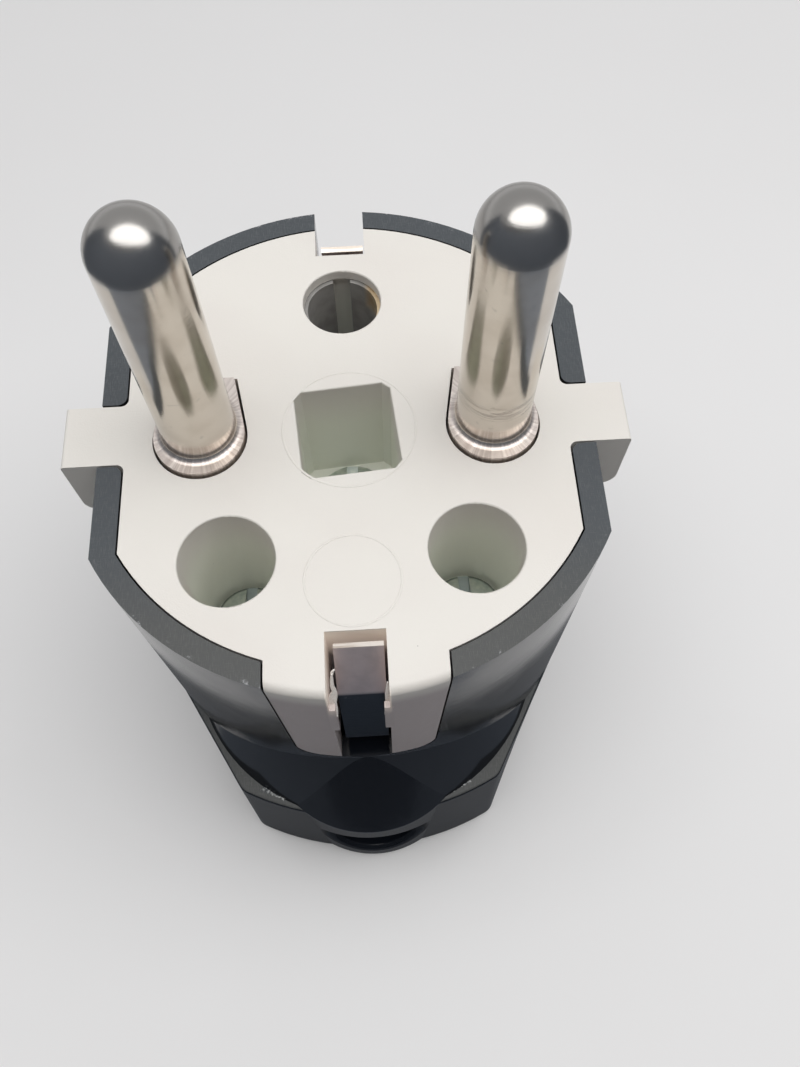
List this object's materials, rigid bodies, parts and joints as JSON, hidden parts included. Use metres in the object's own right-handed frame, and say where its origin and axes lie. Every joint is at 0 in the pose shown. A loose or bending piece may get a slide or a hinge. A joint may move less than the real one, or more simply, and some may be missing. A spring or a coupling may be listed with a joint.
{
  "type": "right-angle mains plug",
  "caption": "Rewirable right-angle mains plug with round pins, side earth clips and a socket for an outlet's earth pin.",
  "frame": {"origin": "centre of the flat back, on the plug's axis midway between the pins", "axes": "+Z along the pins towards their tips, -Y the way the cord leaves, X from the neutral pin to the line pin"},
  "size_m": [0.0366, 0.0407, 0.059],
  "materials": {
    "cover_black": "glossy black thermoplastic, rim top satin and scratched",
    "insert_white": "warm white moulded thermoplastic, satin",
    "pin_nickel": "bright nickel plate on turned brass",
    "strap_nickel": "nickel-plated brass strip",
    "socket_brass": "bare drawn brass",
    "screw_zinc": "zinc-plated steel",
    "retainer_fibre": "pressed brown fibre sheet",
    "clamp_plastic": "moulded thermoplastic"
  },
  "bodies": {
    "root": {"cover": "cover_black", "face_insert": "insert_white", "earth_strap": "strap_nickel", "earth_socket": "socket_brass", "pin_retainer": "retainer_fibre", "centre_screw": "screw_zinc", "centre_nut": "screw_zinc", "earth_nut": "screw_zinc", "earth_washer": "screw_zinc", "earth_screw": "screw_zinc", "cord_clamp_bar": "clamp_plastic", "neutral_pin": "pin_nickel", "neutral_washer": "screw_zinc", "neutral_screw": "screw_zinc", "cover_bush_left": "socket_brass", "cover_screw_left": "screw_zinc", "clamp_screw_left": "screw_zinc", "line_pin": "pin_nickel", "line_washer": "screw_zinc", "line_screw": "screw_zinc", "cover_bush_right": "socket_brass", "cover_screw_right": "screw_zinc", "clamp_screw_right": "screw_zinc"}
  },
  "joints": []
}
